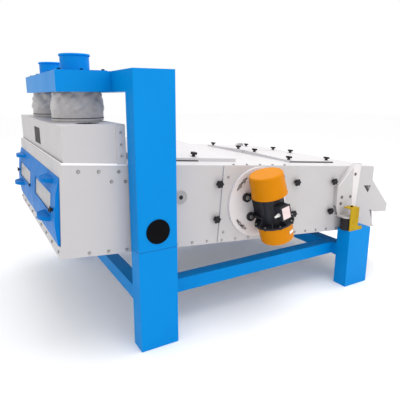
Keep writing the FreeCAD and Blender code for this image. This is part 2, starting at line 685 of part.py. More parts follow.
# Inlet doors: pressed pans with a window and two pressed pull handles
DOOR = [(-401, DOOR_Z1), (-414, 1100), (-427, 1050), (-441, 915), (-442.5, 870), (-439, 815),
        (-432, DOOR_Z0)]
sl = (441.0 - 427.0) / (1050.0 - 915.0)


def pull(x, z):
    """Half-moon finger pull on the face at x, its hollow open below; z is its underside."""
    r = (PULL_W * PULL_W / 4 + PULL_D * PULL_D) / (2 * PULL_D)
    y = -(DOOR_SIDE - PULL_EDGE)
    bow = cyl((x - PULL_D + r, y, z), (0, 0, 1), r, PULL_H)
    bow = bow.cut(cyl((x - PULL_D + r, y, z - 1), (0, 0, 1), r - 3.0, PULL_H - 2.0))
    return bow.common(box(x - PULL_D - 1, x + 12, y - PULL_W, y + PULL_W, z - 1, z + PULL_H + 1))


def door():
    y0 = -DOOR_SIDE
    y1 = -DOOR_GAP
    t = DOOR_T
    back = [(front_x(z) - FRONT_T - CLEAR, z) for z in (DOOR_Z0, DOOR_Z1)]
    out = prism(DOOR + back, y0, y1)
    inn = [(x + t, z) for x, z in DOOR[1:-1]]
    z_lo = DOOR_Z0 + t
    z_hi = DOOR_Z1 - t
    inn = [(-399.5 + t, z_hi)] + inn + [(-432 + t, z_lo), (-395, z_lo), (-380, z_hi)]
    pulls = [pull(-411.0, PULL_Z1), pull(-442.0, PULL_Z0)]
    d = fuse([out] + pulls).cut(prism(inn, y0 + t, y1 - t))
    return d.cut(box(-470, -380, -PANE_Y1, -PANE_Y0, PANE_Z0, PANE_Z1))


dn = door()
save("door_near", dn)
save("door_far", far(dn))


def pane():
    pts = []
    for z in (PANE_Z0 - 8, PANE_Z1 + 8):
        x = -441.0 + (z - 915.0) * sl + DOOR_T + CLEAR
        pts.append((x, z))
    pts += [(pts[1][0] + 4, pts[1][1]), (pts[0][0] + 4, pts[0][1])]
    return prism(pts, -PANE_Y1 - 8, -PANE_Y0 + 8)


pn = pane()
save("window_near", pn)
save("window_far", far(pn))
LATCH_Z = 960.0
LATCH_Y = DOOR_SIDE - 61.0
LATCH_R = 13.0
lx = -441.0 + (LATCH_Z - LATCH_R - 915.0) * sl - CLEAR
latch = fuse([cyl((lx, -LATCH_Y, LATCH_Z), (-1, 0, 0), LATCH_R, 12.0),
              box(lx - 20, lx - 10, -LATCH_Y - 8, -LATCH_Y + 8, LATCH_Z - 28, LATCH_Z + 28)])
save("door_latch_near", latch)
save("door_latch_far", far(latch))


# Vibration motors, built upright about their own axis, feet towards +Y

def place(s):
    s = s.copy()
    s.rotate(V(0, 0, 0), V(0, 1, 0), -THROW)
    s.translate(V(DISC_X, -BOX_HALF - MPLATE_T - CLEAR - DISC_T - AXIS_OUT, DISC_Z))
    return s


yd = -BOX_HALF - MPLATE_T - CLEAR
disc = cyl((DISC_X, yd, DISC_Z), (0, -1, 0), DISC_R, DISC_T)
disc = disc.cut(cyl((DISC_X, yd + 1, DISC_Z), (0, -1, 0), 40.06, 15.0))
for a in BOLT_ANG:
    ring = cyl((0, yd + 1, 0), (0, -1, 0), SLOT_R + 9, DISC_T + 2)
    ring = ring.cut(cyl((0, yd + 2, 0), (0, -1, 0), SLOT_R - 9, DISC_T + 4))
    wedge = []
    for t in (-SLOT_HALF, 0, SLOT_HALF):
        r = math.radians(a + t)
        wedge.append((400 * math.cos(r), 400 * math.sin(r)))
    ring = ring.common(prism([(0, 0)] + wedge, yd - DISC_T - 2, yd + 2))
    ends = []
    for t in (-SLOT_HALF, SLOT_HALF):
        r = math.radians(a + t)
        ends.append(cyl((SLOT_R * math.cos(r), yd + 1, SLOT_R * math.sin(r)), (0, -1, 0), 9,
                        DISC_T + 2))
    slot = ring.multiFuse(ends)
    slot.translate(V(DISC_X, 0, DISC_Z))
    disc = disc.cut(slot)


HB = MOTOR_HALF
# the upper flange stands inside its cap's tapered skirt
lap_r = MCAP_R - MCAP_T - 7 * (MCAP_LAP + 1) / (MCAP_L - 8 + MCAP_LAP + CLEAR) - CLEAR
hs = [cyl((0, 0, -HB + 6), (0, 0, 1), MOTOR_R, 2 * HB - 12), octagon(MFLANGE_R, -HB, 14),
      cyl((0, 0, HB - 14), (0, 0, 1), lap_r, 14), box(-118, 118, AXIS_OUT - 20, AXIS_OUT, -100, 100),
      box(-78, 78, 60, AXIS_OUT - 10, -92, 92)]
housing = fuse(hs)
housing = housing.cut(cyl((0, 0, -82), (0, 0, 1), 62.4, 164))
housing = housing.cut(cyl((0, 0, -HB - 5), (0, 0, 1), SHAFT_R + 0.06, 2 * HB + 10))
FOOT = [(-98, -76), (98, -76), (-98, 76), (98, 76)]
for x, z in FOOT:
    housing = housing.cut(cyl((x, AXIS_OUT + 1, z), (0, -1, 0), 9.0, 30))
z1 = HB + CLEAR + MCAP_L - 8


def motor_cap(z0):
    """Thin weight cover from z0 up over the motor's end."""
    cone = Part.makeCone(MCAP_R, MCAP_R - 7, z1 - z0, V(0, 0, z0), V(0, 0, 1))
    crown = Part.makeCone(MCAP_R - 7, MCAP_R - 15, 8, V(0, 0, z1), V(0, 0, 1))
    hollow = Part.makeCone(MCAP_R - MCAP_T, MCAP_R - MCAP_T - 7, z1 - z0, V(0, 0, z0 - 1),
                           V(0, 0, 1))
    return fuse([cone, crown]).cut(hollow)


mcap = motor_cap(HB - MCAP_LAP)
mcap2 = motor_cap(HB + CLEAR).mirror(V(0, 0, 0), V(0, 0, 1))
tbox = box(-38, 38, -152, -80, -56, 44)
tbox = tbox.cut(cyl((0, 0, -80), (0, 0, 1), MOTOR_R + CLEAR, 160))
tbox = tbox.cut(box(-34, 34, -148, -MOTOR_R - 8, -52, 40))
tbox.rotate(V(0, 0, 0), V(0, 0, 1), TBOX_TURN)
half = cyl((0, 0, HB + 18), (0, 0, 1), 100.0, 62)
half = half.cut(box(4, 120, -120, 120, HB + 10, HB + 90))
half2 = half.mirror(V(0, 0, 0), V(0, 0, 1))
rotor = fuse([cyl((0, 0, -HB - 92), (0, 0, 1), SHAFT_R, 2 * (HB + 92)),
              cyl((0, 0, -78), (0, 0, 1), 62.0, 156), half, half2])
mb = []
for x, z in FOOT:
    mb.append(fuse([hexhead((x, AXIS_OUT, z), (0, -1, 0), 15.0, 20.2),
                    hexhead((x, AXIS_OUT - 20, z), (0, -1, 0), 30.0, 3.0),
                    hexhead((x, AXIS_OUT - 23, z), (0, -1, 0), 22.0, 10.0)]))
motor = {"disc": [disc], "housing": [place(housing)], "caps": [place(mcap), place(mcap2)],
         "terminal_box": [place(tbox)], "rotor": [place(rotor)],
         "foot_bolts": [place(b) for b in mb]}
for key in motor:
    save("motor_" + key + "_near", *motor[key])
    save("motor_" + key + "_far", *[far(s) for s in motor[key]])

# Shift so that the whole machine is centred over the origin, and write one file per node
lo = min(s.BoundBox.XMin for n in nodes.values() for s in n)
hi = max(s.BoundBox.XMax for n in nodes.values() for s in n)
shift = -(lo + hi) / 2.0
for name in sorted(nodes):
    solids = []
    for s in nodes[name]:
        s = s.copy()
        s.translate(V(shift, 0, 0))
        solids += s.Solids
    shape = solids[0] if len(solids) == 1 else Part.makeCompound(solids)
    shape.exportStep("parts/" + name + ".step")
print(len(nodes), "nodes, shift", shift)
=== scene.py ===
import math

import bmesh
import bpy
from mathutils import Matrix, Vector


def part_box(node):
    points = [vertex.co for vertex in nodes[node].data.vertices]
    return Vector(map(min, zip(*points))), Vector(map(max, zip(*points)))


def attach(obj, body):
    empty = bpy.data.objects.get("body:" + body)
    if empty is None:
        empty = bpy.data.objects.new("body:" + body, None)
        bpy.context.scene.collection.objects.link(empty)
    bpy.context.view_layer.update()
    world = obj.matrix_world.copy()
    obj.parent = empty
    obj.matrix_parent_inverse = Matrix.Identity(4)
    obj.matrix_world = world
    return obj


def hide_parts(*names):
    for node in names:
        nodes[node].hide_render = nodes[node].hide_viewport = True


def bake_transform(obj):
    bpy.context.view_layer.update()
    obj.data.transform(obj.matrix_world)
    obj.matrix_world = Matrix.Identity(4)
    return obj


# Looks of the seed cleaner: finishes on the solids, cloth sleeves, rubber springs, cast motor
# bodies and small fittings. Metres: +X to the discharge end, -Y the side that faces the
# camera, +Z up.

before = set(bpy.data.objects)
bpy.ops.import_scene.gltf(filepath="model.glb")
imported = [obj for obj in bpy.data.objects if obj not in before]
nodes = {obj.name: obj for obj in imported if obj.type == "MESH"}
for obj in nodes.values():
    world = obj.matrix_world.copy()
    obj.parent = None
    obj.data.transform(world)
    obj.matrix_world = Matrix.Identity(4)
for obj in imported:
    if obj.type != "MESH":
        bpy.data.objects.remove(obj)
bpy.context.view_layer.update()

THROW = math.radians(15.0)
TILT = math.radians(5.0)
SEGMENTS = 64
IDENTITY = Matrix.Identity(4)


# Places worked out from the solids

def low(node):
    return Vector(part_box(node)[0])


def high(node):
    return Vector(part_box(node)[1])


def mid(node):
    return (low(node) + high(node)) / 2.0


# SHIFT is the tall legs' outer face, DECK_Z the deck's height there
SIDES = (("near", -1.0), ("far", 1.0))
SHIFT = low("inlet_leg_near").x
BOX_HALF = high("top_frame").y
POST_MID = mid("inlet_leg_far").y
DECK_Z = 1.196
HOOD_TOP = 1.438


def deck(u, y, w):
    """Point on the tilted deck: u along it, y across, w square to it, up from its top edge."""
    x = u * math.cos(TILT) + w * math.sin(TILT)
    z = DECK_Z - u * math.sin(TILT) + w * math.cos(TILT)
    return Vector((x + SHIFT, y, z))


# Shared shader pieces

def node_group(name, inputs, outputs):
    group = bpy.data.node_groups.new(name, "ShaderNodeTree")
    for label, kind, value in inputs:
        sock = group.interface.new_socket(name=label, in_out="INPUT", socket_type=kind)
        sock.default_value = value
    for label, kind in outputs:
        group.interface.new_socket(name=label, in_out="OUTPUT", socket_type=kind)
    return group


def mottle_group():
    """Broad stains that shift a colour and its roughness, with a fine bump height."""
    g = node_group("mottle",
                   [("Clean", "NodeSocketColor", (0.8, 0.8, 0.8, 1.0)),
                    ("Stained", "NodeSocketColor", (0.6, 0.6, 0.6, 1.0)),
                    ("Stain Scale", "NodeSocketFloat", 3.0),
                    ("Stain Amount", "NodeSocketFloat", 0.4),
                    ("Grain Scale", "NodeSocketFloat", 300.0),
                    ("Roughness", "NodeSocketFloat", 0.4)],
                   [("Color", "NodeSocketColor"), ("Roughness", "NodeSocketFloat"),
                    ("Height", "NodeSocketFloat")])
    n, link = g.nodes, g.links
    inp = n.new("NodeGroupInput")
    out = n.new("NodeGroupOutput")
    coord = n.new("ShaderNodeTexCoord")
    stain = n.new("ShaderNodeTexNoise")
    stain.inputs["Detail"].default_value = 6.0
    stain.inputs["Roughness"].default_value = 0.62
    grain = n.new("ShaderNodeTexNoise")
    grain.inputs["Detail"].default_value = 3.0
    ramp = n.new("ShaderNodeMapRange")
    ramp.inputs["From Min"].default_value = 0.42
    ramp.inputs["From Max"].default_value = 0.75
    amount = n.new("ShaderNodeMath")
    amount.operation = "MULTIPLY"
    mix = n.new("ShaderNodeMix")
    mix.data_type = "RGBA"
    rough = n.new("ShaderNodeMath")
    rough.operation = "MULTIPLY_ADD"
    rough.inputs[1].default_value = 0.25
    link.new(coord.outputs["Object"], stain.inputs["Vector"])
    link.new(coord.outputs["Object"], grain.inputs["Vector"])
    link.new(inp.outputs["Stain Scale"], stain.inputs["Scale"])
    link.new(inp.outputs["Grain Scale"], grain.inputs["Scale"])
    link.new(stain.outputs["Fac"], ramp.inputs["Value"])
    link.new(ramp.outputs["Result"], amount.inputs[0])
    link.new(inp.outputs["Stain Amount"], amount.inputs[1])
    link.new(amount.outputs[0], mix.inputs["Factor"])
    link.new(inp.outputs["Clean"], mix.inputs["A"])
    link.new(inp.outputs["Stained"], mix.inputs["B"])
    link.new(amount.outputs[0], rough.inputs[0])
    link.new(inp.outputs["Roughness"], rough.inputs[2])
    link.new(mix.outputs["Result"], out.inputs["Color"])
    link.new(rough.outputs[0], out.inputs["Roughness"])
    link.new(grain.outputs["Fac"], out.inputs["Height"])
    return g


MOTTLE = mottle_group()


def srgb(r, g, b):
    """Linear colour from 0-255 display values."""
    out = []
    for c in (r, g, b):
        c = c / 255.0
        out.append(c / 12.92 if c <= 0.04045 else ((c + 0.055) / 1.055) ** 2.4)
    return tuple(out) + (1.0,)


def material(name, clean, stained, rough, metal=0.0, spec=0.5, stain=0.4, stain_scale=3.0,
             grain=300.0, bump=0.05, depth=0.0004, coat=0.0):
    m = bpy.data.materials.new(name)
    m.use_nodes = True
    n, link = m.node_tree.nodes, m.node_tree.links
    shader = n["Principled BSDF"]
    g = n.new("ShaderNodeGroup")
    g.node_tree = MOTTLE
    g.inputs["Clean"].default_value = clean
    g.inputs["Stained"].default_value = stained
    g.inputs["Stain Scale"].default_value = stain_scale
    g.inputs["Stain Amount"].default_value = stain
    g.inputs["Grain Scale"].default_value = grain
    g.inputs["Roughness"].default_value = rough
    b = n.new("ShaderNodeBump")
    b.inputs["Strength"].default_value = bump
    b.inputs["Distance"].default_value = depth
    link.new(g.outputs["Color"], shader.inputs["Base Color"])
    link.new(g.outputs["Roughness"], shader.inputs["Roughness"])
    link.new(g.outputs["Height"], b.inputs["Height"])
    link.new(b.outputs["Normal"], shader.inputs["Normal"])
    shader.inputs["Metallic"].default_value = metal
    shader.inputs["Specular IOR Level"].default_value = spec
    shader.inputs["Coat Weight"].default_value = coat
    shader.inputs["Coat Roughness"].default_value = 0.2
    return m


WHITE = material("white_powder_coat", srgb(188, 185, 186), srgb(176, 172, 173), 0.42, spec=0.35,
                 stain=0.35, stain_scale=2.2, grain=420.0)
LID_WHITE = material("white_lid_enamel", srgb(197, 194, 195), srgb(182, 178, 179), 0.4, spec=0.35,
                     stain=0.35, stain_scale=2.6, grain=420.0)
PLATE_WHITE = material("white_drive_plates", srgb(216, 211, 212), srgb(196, 188, 188), 0.48,
                       spec=0.3, stain=0.45, stain_scale=6.0, grain=260.0)
BLUE = material("blue_gloss_paint", srgb(0, 132, 208), srgb(0, 121, 196), 0.36, spec=0.06,
                stain=0.4, stain_scale=1.8, grain=380.0)
DOOR_BLUE = material("blue_door_paint", srgb(0, 114, 193), srgb(0, 100, 178), 0.4, spec=0.05,
                     stain=0.4, stain_scale=5.0, grain=380.0)
ORANGE = material("orange_motor_paint", srgb(203, 126, 0), srgb(189, 113, 0), 0.38, spec=0.08,
                  stain=0.4, stain_scale=9.0, grain=420.0)
YELLOW = material("yellow_bracket_paint", srgb(176, 144, 10), srgb(150, 116, 8), 0.5, spec=0.12,
                  stain=0.6, stain_scale=18.0, grain=500.0)
CAST_BLACK = material("black_cast_iron_paint", srgb(35, 35, 41), srgb(20, 20, 25), 0.5, spec=0.3,
                      stain=0.6, stain_scale=14.0, grain=900.0, bump=0.25)
KNOB_BLACK = material("black_knob_plastic", srgb(23, 22, 26), srgb(15, 14, 17), 0.42, spec=0.25,
                      stain=0.5, stain_scale=30.0, grain=1500.0)
RUBBER = material("black_rubber", srgb(34, 32, 34), srgb(52, 49, 50), 0.75, spec=0.3, stain=0.5,
                  stain_scale=16.0, grain=900.0, bump=0.15)
ZINC = material("zinc_plated_steel", srgb(186, 184, 180), srgb(140, 138, 134), 0.34, metal=0.85,
                stain=0.6, stain_scale=40.0, grain=1200.0)
STEEL = material("bare_sheet_steel", srgb(176, 178, 182), srgb(150, 150, 152), 0.36, metal=0.9,
                 stain=0.5, stain_scale=8.0, grain=800.0)
PANE = material("frosted_window_plastic", srgb(152, 151, 154), srgb(142, 140, 143), 0.3, spec=0.3,
                stain=0.5, stain_scale=7.0, grain=200.0, coat=0.1)
BALLS = material("natural_rubber_balls", srgb(196, 186, 168), srgb(168, 156, 138), 0.7, spec=0.3,
                 stain=0.5, stain_scale=60.0, grain=900.0)
DARK_TAG = material("bare_dark_plate", srgb(40, 38, 39), srgb(58, 56, 55), 0.5, spec=0.15,
                    stain=0.7, stain_scale=24.0, grain=600.0)
PALE_TAG = material("bare_pale_plate", srgb(226, 206, 206), srgb(205, 180, 182), 0.4, spec=0.5,
                    stain=0.5, stain_scale=20.0, grain=600.0)
PALE_PLASTIC = material("pale_gland_plastic", srgb(230, 228, 222), srgb(204, 202, 196), 0.4,
                        spec=0.5, stain=0.5, stain_scale=40.0, grain=900.0)
# Darker copy of the bolt zinc: painted shade on the upper side bolts' washers, also used on the
# bracket bolts
SHADED_BOLT_ZINC = material("shaded_bolt_zinc", srgb(126, 124, 122), srgb(84, 82, 80), 0.45, metal=0.6,
                     stain=0.6, stain_scale=40.0, grain=1200.0)
BOLT_ZINC = material("dull_bolt_zinc", srgb(160, 158, 156), srgb(112, 110, 108), 0.42, metal=0.6,
                     stain=0.6, stain_scale=40.0, grain=1200.0)
CAP_BLACK = material("dull_port_cap_plastic", srgb(9, 9, 12), srgb(15, 14, 17), 0.75, spec=0.06,
                     stain=0.5, stain_scale=18.0, grain=1100.0)
BOSS_GREY = material("grey_boss_paint", srgb(158, 156, 157), srgb(140, 137, 138), 0.5, spec=0.3,
                     stain=0.5, stain_scale=30.0, grain=700.0)
TRIM_WHITE = material("bright_trim_enamel", srgb(246, 244, 246), srgb(236, 233, 234), 0.3, spec=0.5,
                      stain=0.3, stain_scale=6.0, grain=420.0)
# Painted shade: dark colour for the hood's inner faces, so the hole in the hood's top reads dark
HOOD_INSIDE_SHADE = material("painted_shade_hood_inside", srgb(58, 56, 54), srgb(40, 38, 36), 0.8, spec=0.1, stain=0.6,
                 stain_scale=9.0, grain=500.0)
SEAM = material("dark_weld_seam", srgb(0, 74, 140), srgb(0, 60, 116), 0.5, spec=0.2, stain=0.4,
                stain_scale=12.0, grain=700.0)


def wood_material():
    """Sieve frame timber: stretched noise for the grain along X."""
    m = material("sieve_frame_timber", srgb(204, 172, 124), srgb(170, 134, 88), 0.6, spec=0.3,
                 grain=120.0, bump=0.2)
    n, link = m.node_tree.nodes, m.node_tree.links
    coord = n.new("ShaderNodeTexCoord")
    place = n.new("ShaderNodeMapping")
    place.inputs["Scale"].default_value = (1.5, 40.0, 40.0)
    noise = n.new("ShaderNodeTexNoise")
    noise.inputs["Scale"].default_value = 2.0
    noise.inputs["Detail"].default_value = 8.0
    ramp = n.new("ShaderNodeValToRGB")
    ramp.color_ramp.elements[0].color = srgb(150, 112, 68)
    ramp.color_ramp.elements[1].color = srgb(216, 186, 138)
    link.new(coord.outputs["Object"], place.inputs["Vector"])
    link.new(place.outputs["Vector"], noise.inputs["Vector"])
    link.new(noise.outputs["Fac"], ramp.inputs["Fac"])
    link.new(ramp.outputs["Color"], n["Principled BSDF"].inputs["Base Color"])
    return m


def mesh_material():
    """Perforated sieve sheet: a grid of dark round holes by object coordinates."""
    m = material("perforated_sieve_sheet", srgb(190, 192, 196), srgb(160, 160, 164), 0.35,
                 metal=0.85, grain=700.0)
    n, link = m.node_tree.nodes, m.node_tree.links
    coord = n.new("ShaderNodeTexCoord")
    cells = n.new("ShaderNodeTexVoronoi")
    cells.inputs["Scale"].default_value = 110.0
    cells.inputs["Randomness"].default_value = 0.0
    edge = n.new("ShaderNodeMapRange")
    edge.inputs["From Min"].default_value = 0.28
    edge.inputs["From Max"].default_value = 0.34
    mix = n.new("ShaderNodeMix")
    mix.data_type = "RGBA"
    mix.inputs["A"].default_value = srgb(22, 22, 24)
    g = next(x for x in n if x.type == "GROUP")
    link.new(coord.outputs["Object"], cells.inputs["Vector"])
    link.new(cells.outputs["Distance"], edge.inputs["Value"])
    link.new(edge.outputs["Result"], mix.inputs["Factor"])
    link.new(g.outputs["Color"], mix.inputs["B"])
    link.new(mix.outputs["Result"], n["Principled BSDF"].inputs["Base Color"])
    return m


def cloth_material():
    """Feed sleeve cloth: a woven bump over soft grey folds."""
    m = material("grey_sleeve_cloth", srgb(194, 191, 191), srgb(156, 153, 154), 0.9, spec=0.12,
                 stain=0.8, stain_scale=7.0, grain=60.0)
    n, link = m.node_tree.nodes, m.node_tree.links
    shader = n["Principled BSDF"]
    shader.inputs["Sheen Weight"].default_value = 0.25
    coord = n.new("ShaderNodeTexCoord")
    warp = n.new("ShaderNodeTexWave")
    warp.inputs["Scale"].default_value = 260.0
    warp.bands_direction = "Z"
    weft = n.new("ShaderNodeTexWave")
    weft.inputs["Scale"].default_value = 260.0
    weft.bands_direction = "DIAGONAL"
    both = n.new("ShaderNodeMath")
    both.operation = "ADD"
    bump = next(x for x in n if x.type == "BUMP")
    bump.inputs["Strength"].default_value = 0.3
    link.new(coord.outputs["Object"], warp.inputs["Vector"])
    link.new(coord.outputs["Object"], weft.inputs["Vector"])
    link.new(warp.outputs["Fac"], both.inputs[0])
    link.new(weft.outputs["Fac"], both.inputs[1])
    link.new(both.outputs[0], bump.inputs["Height"])
    return m


WOOD = wood_material()
SIEVE = mesh_material()
CLOTH = cloth_material()


# Finishes on the solids

def paint(mat, *names):
    for name in names:
        o = nodes[name]
        o.data.materials.clear()
        o.data.materials.append(mat)


def bevel(o, width, segments=2, angle=32.0):
    mod = o.modifiers.new("edge_break", "BEVEL")
    mod.width = width
    mod.segments = segments
    mod.limit_method = "ANGLE"
    mod.angle_limit = math.radians(angle)
    mod.harden_normals = False
    return mod


def smooth(o, angle=35.0):
    """Smooth shading that keeps edges sharper than the angle."""
    o.data.polygons.foreach_set("use_smooth", [True] * len(o.data.polygons))
    bm = bmesh.new()
    bm.from_mesh(o.data)
    limit = math.radians(angle)
    for e in bm.edges:
        e.smooth = len(e.link_faces) == 2 and e.calc_face_angle(0.0) < limit
    bm.to_mesh(o.data)
    bm.free()


def pair(*stems):
    return [s + "_" + side for s in stems for side, sign in SIDES]


paint(BLUE, *pair("inlet_leg", "discharge_leg", "portal_post", "inlet_spout"), "cross_beams",
      "side_rails", "portal_beam", "spout_platform")
paint(WHITE, *pair("side_plate"), "front_panel", "feed_hood", "motor_plates", "overs_chute",
      "discharge_end_wall", "bottom_pan", "fines_outlet", "inlet_spring_brackets",
      "discharge_spring_brackets")
paint(LID_WHITE, "top_frame", "inlet_lids", "discharge_lids")
paint(PLATE_WHITE, *pair("motor_disc"))
paint(DOOR_BLUE, *pair("door"))
paint(ORANGE, *pair("motor_caps"))
paint(CAST_BLACK, *pair("motor_housing", "motor_terminal_box"))
paint(STEEL, *pair("motor_rotor"), "feed_tray")
paint(ZINC, *pair("motor_foot_bolts"))
paint(BOLT_ZINC, "body_bolts")
paint(YELLOW, "transport_brackets")
paint(KNOB_BLACK, *pair("door_latch"), "star_knobs")
paint(CAP_BLACK, "port_caps", "frame_bolts")
paint(RUBBER, "inlet_rubber_springs", "discharge_rubber_springs")
paint(CLOTH, *pair("feed_sleeve"), "sleeve_clamps")
paint(PANE, *pair("window"))
paint(WOOD, "upper_sieve_frames", "lower_sieve_frames")
paint(SIEVE, "upper_sieve_meshes", "lower_sieve_meshes")
paint(BALLS, "rubber_balls")


def paint_hood_inside_shade(mat, wall=0.002):
    """Second material on the hood's inner faces: painted shade that makes the suction hole read
    dark.
    """
    o = nodes["feed_hood"]
    o.data.materials.append(mat)
    x0, x1 = low("feed_hood").x + wall, high("feed_hood").x - wall
    for face in o.data.polygons:
        c = o.matrix_world @ face.center
        if x0 < c.x < x1 and abs(c.y) < BOX_HALF - wall and c.z < HOOD_TOP - wall:
            face.material_index = 1


EDGES = {0.004: pair("inlet_leg", "discharge_leg", "portal_post") +
         ["portal_beam", "side_rails", "cross_beams", "spout_platform"],
         0.0015: ["inlet_lids", "discharge_lids", "transport_brackets", "discharge_spring_brackets"],
         0.003: ["star_knobs"] + pair("motor_caps"),
         0.001: ["body_bolts", "frame_bolts"] + pair("motor_foot_bolts", "door_latch")}
WIDE_EDGE = 0.003
for width, names in EDGES.items():
    for name in names:
        bevel(nodes[name], width, 3 if width >= WIDE_EDGE else 2)
for o in nodes.values():
    smooth(o)
paint_hood_inside_shade(HOOD_INSIDE_SHADE)


# Building blocks for the added pieces

def finish_mesh(bm, name, mat, body, flat=False, bevel_width=0.0):
    """Merge, turn the faces outwards, add the finish and hang the piece on its body."""
    bmesh.ops.remove_doubles(bm, verts=bm.verts, dist=1e-6)
    bmesh.ops.recalc_face_normals(bm, faces=bm.faces)
    mesh = bpy.data.meshes.new(name)
    bm.to_mesh(mesh)
    bm.free()
    o = bpy.data.objects.new(name, mesh)
    bpy.context.collection.objects.link(o)
    mesh.materials.append(mat)
    if not flat:
        smooth(o)
    if bevel_width:
        bevel(o, bevel_width)
    if body:
        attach(o, body)
    return o


def add_box(bm, corner_a, corner_b, matrix=IDENTITY):
    a, b = Vector(corner_a), Vector(corner_b)
    m = matrix @ Matrix.Translation((a + b) / 2.0) @ Matrix.Diagonal(b - a).to_4x4()
    bmesh.ops.create_cube(bm, size=1.0, matrix=m)


def add_cylinder(bm, base, axis, radius, length, segments=24, end_radius=None, matrix=IDENTITY):
    """Cylinder or cone that starts at base and runs along axis."""
    axis = Vector(axis).normalized()
    turn = Vector((0, 0, 1)).rotation_difference(axis).to_matrix().to_4x4()
    m = matrix @ Matrix.Translation(Vector(base) + axis * length / 2.0) @ turn
    bmesh.ops.create_cone(bm, cap_ends=True, segments=segments, radius1=radius,
                          radius2=radius if end_radius is None else end_radius,
                          depth=length, matrix=m)


def add_spun(bm, outline, centre=(0.0, 0.0), segments=SEGMENTS, matrix=IDENTITY):
    """R-Z outline spun a full turn about the upright through centre; returns its vertices."""
    before = set(bm.verts)
    verts = [bm.verts.new((centre[0] + r, centre[1], z)) for r, z in outline]
    edges = [bm.edges.new(two) for two in zip(verts, verts[1:])]
    bmesh.ops.spin(bm, geom=verts + edges, cent=(centre[0], centre[1], 0.0), axis=(0, 0, 1),
                   angle=2.0 * math.pi, steps=segments, use_merge=True)
    made = [v for v in bm.verts if v not in before]
    bmesh.ops.transform(bm, matrix=matrix, verts=made)
    return made


def add_ring(bm, z, height, r_in, r_out, matrix=IDENTITY):
    """Upright ring from z; a negative height hangs it below z."""
    corners = [(r_in, z), (r_out, z), (r_out, z + height), (r_in, z + height)]
    add_spun(bm, corners + corners[:1], matrix=matrix)


def add_plate(bm, outline, thick, matrix=IDENTITY):
    """Flat X-Z outline given a thickness along Y."""
    face = bm.faces.new([bm.verts.new((x, 0.0, z)) for x, z in outline])
    made = bmesh.ops.extrude_face_region(bm, geom=[face])["geom"]
    back = [g for g in made if isinstance(g, bmesh.types.BMVert)]
    bmesh.ops.translate(bm, vec=(0.0, thick, 0.0), verts=back)
    bmesh.ops.transform(bm, matrix=matrix, verts=back + list(face.verts))


# Cloth feed sleeves

SLEEVE_TOP = 0.1445
SLEEVE_WAIST = 0.1455
SLEEVE_FOOT = 0.1655
SLEEVE_STEPS = 44
SLEEVE_SEGMENTS = 128
HEM = 0.30
TOP_TIE = 0.08
CLOTH_T = 0.0015
FOLDS_FROM = 0.26
FOLDS_RISE = 0.14
FOLDS_FADE = 0.12
SLACK = 0.002
SLANT_FOLD = 0.0058
CROSS_FOLD = 0.0042
WIDE_FOLD = 0.0022
HOOP_FOLD = 0.0014
# Dark rings on the sleeve hems: painted shadow along the clamps
SHADOW_RING_UP = 0.010
SHADOW_RING_H = 0.005
SHADOW_RING_IN = 0.002
SHADOW_RING_OUT = 0.0012


def sleeve_profile(z_low, z_high):
    """Radius against height: a straight hem on the collar, then drawn in to the upper tie."""
    out = []
    for k in range(SLEEVE_STEPS + 1):
        t = k / SLEEVE_STEPS
        rise = max(0.0, (t - HEM) / (1.0 - HEM))
        ease = rise * rise * (3.0 - 2.0 * rise)
        r = SLEEVE_FOOT + (SLEEVE_WAIST - SLEEVE_FOOT) * min(1.0, 0.35 * rise + 0.65 * ease)
        if t > 1.0 - TOP_TIE:
            r += (SLEEVE_TOP - r) * (t - 1.0 + TOP_TIE) / TOP_TIE
        out.append((r, z_low + (z_high - z_low) * t))
    return out


def crease(angle):
    """A wave with rounded crests and narrow troughs."""
    return 1.0 - 2.0 * (0.5 - 0.5 * math.sin(angle)) ** 2.2


def wrinkle(verts, centre, z_low, z_high, phase):
    """Slanting and upright folds that die out at the two ties."""
    for v in verts:
        out = (v.co - centre).to_2d()
        a = math.atan2(out.y, out.x)
        t = (v.co.z - z_low) / (z_high - z_low)
        free = max(0.0, min(1.0, (t - FOLDS_FROM) / FOLDS_RISE))
        free *= max(0.0, min(1.0, (1.0 - t) / FOLDS_FADE))
        folds = SLANT_FOLD * crease(7 * a + phase + 6.5 * t)
        folds += CROSS_FOLD * crease(11 * a - 2.0 * phase - 15.0 * t + 1.2 * math.sin(3 * a))
        folds += WIDE_FOLD * math.sin(3 * a + 11.0 * t + phase)
        folds += HOOP_FOLD * crease(24.0 * t + 2 * a + 1.5 * math.sin(5 * a + phase))
        v.co += out.normalized().to_3d() * free * (folds + SLACK)


def cloth_sleeve(side, sign):
    c = mid("feed_sleeve_" + side)
    z0, z1 = low("feed_sleeve_" + side).z, high("feed_sleeve_" + side).z
    bm = bmesh.new()
    verts = add_spun(bm, sleeve_profile(z0, z1), c, SLEEVE_SEGMENTS)
    wrinkle(verts, c, z0, z1, 1.3 + 2.1 * sign)
    sleeve = finish_mesh(bm, "cloth_sleeve_" + side, CLOTH, None)
    solid = sleeve.modifiers.new("cloth_thickness", "SOLIDIFY")
    solid.thickness = CLOTH_T
    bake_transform(sleeve)
    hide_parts("feed_sleeve_" + side)


def sleeve_shadow_rings():
    """Dark rubber rings in the sleeves' lower hems: painted shadow, the dark line at the clamps."""
    clamp_r = 0.5 * (high("sleeve_clamps").x - low("sleeve_clamps").x)
    shadow_ring_z = low("sleeve_clamps").z + SHADOW_RING_UP
    bm = bmesh.new()
    for side, sign in SIDES:
        c = mid("feed_sleeve_" + side)
        add_ring(bm, shadow_ring_z, SHADOW_RING_H, clamp_r - SHADOW_RING_IN, clamp_r + SHADOW_RING_OUT,
                 Matrix.Translation((c.x, c.y, 0.0)))
    finish_mesh(bm, "sleeve_shadow_rings", RUBBER, "sieve_box", bevel_width=0.0006)


for side, sign in SIDES:
    cloth_sleeve(side, sign)
sleeve_shadow_rings()


# Ribbed rubber springs

SPRING_R = 0.050
SPRING_BORE = 0.012
SPRING_RIBS = 4
SPRING_STEPS = 40
RIB_DEPTH = 0.0035


